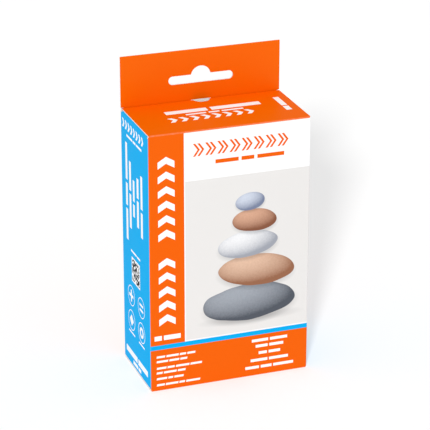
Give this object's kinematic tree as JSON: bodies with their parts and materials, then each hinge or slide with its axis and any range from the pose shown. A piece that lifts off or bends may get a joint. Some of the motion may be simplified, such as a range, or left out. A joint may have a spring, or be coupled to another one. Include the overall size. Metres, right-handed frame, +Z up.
{
  "type": "hanging folding carton",
  "caption": "Tall folding retail carton with a glued base, a tuck lid over inner dust flaps, and a two-ply tab with a peg slot above the back panel.",
  "frame": {"origin": "middle of the base, where the carton stands", "axes": "+Z up along the carton's height, +Y towards the back panel and its tab, so that the printed front faces -Y"},
  "size_m": [0.12, 0.063, 0.2325],
  "materials": {
    "orange_board": "coated board with a satin print",
    "blue_board": "coated board with a satin print"
  },
  "bodies": {
    "carton": {"sleeve": "orange_board", "hang_tab": "orange_board", "bottom_dust_flap_left": "blue_board", "bottom_dust_flap_right": "blue_board", "base_outer_flap": "orange_board", "base_inner_flap": "orange_board"},
    "lid": {"lid": "orange_board"},
    "dust_flap_left": {"top_dust_flap_left": "blue_board"},
    "dust_flap_right": {"top_dust_flap_right": "blue_board"}
  },
  "joints": [
    {"name": "lid_fold", "type": "hinge", "parent": "carton", "child": "lid", "pos_m": [0, -0.0315, 0.195], "axis": [1, 0, 0], "range_deg": [0, 180]},
    {"name": "dust_flap_left_fold", "type": "hinge", "parent": "carton", "child": "dust_flap_left", "pos_m": [-0.06, 0, 0.1941], "axis": [0, -1, 0], "range_deg": [0, 99]},
    {"name": "dust_flap_right_fold", "type": "hinge", "parent": "carton", "child": "dust_flap_right", "pos_m": [0.06, 0, 0.1941], "axis": [0, 1, 0], "range_deg": [0, 99]}
  ],
  "couplings": [
    {"joint": "dust_flap_left_fold", "follows": "lid_fold", "ratio": 0.55},
    {"joint": "dust_flap_right_fold", "follows": "lid_fold", "ratio": 0.55}
  ]
}
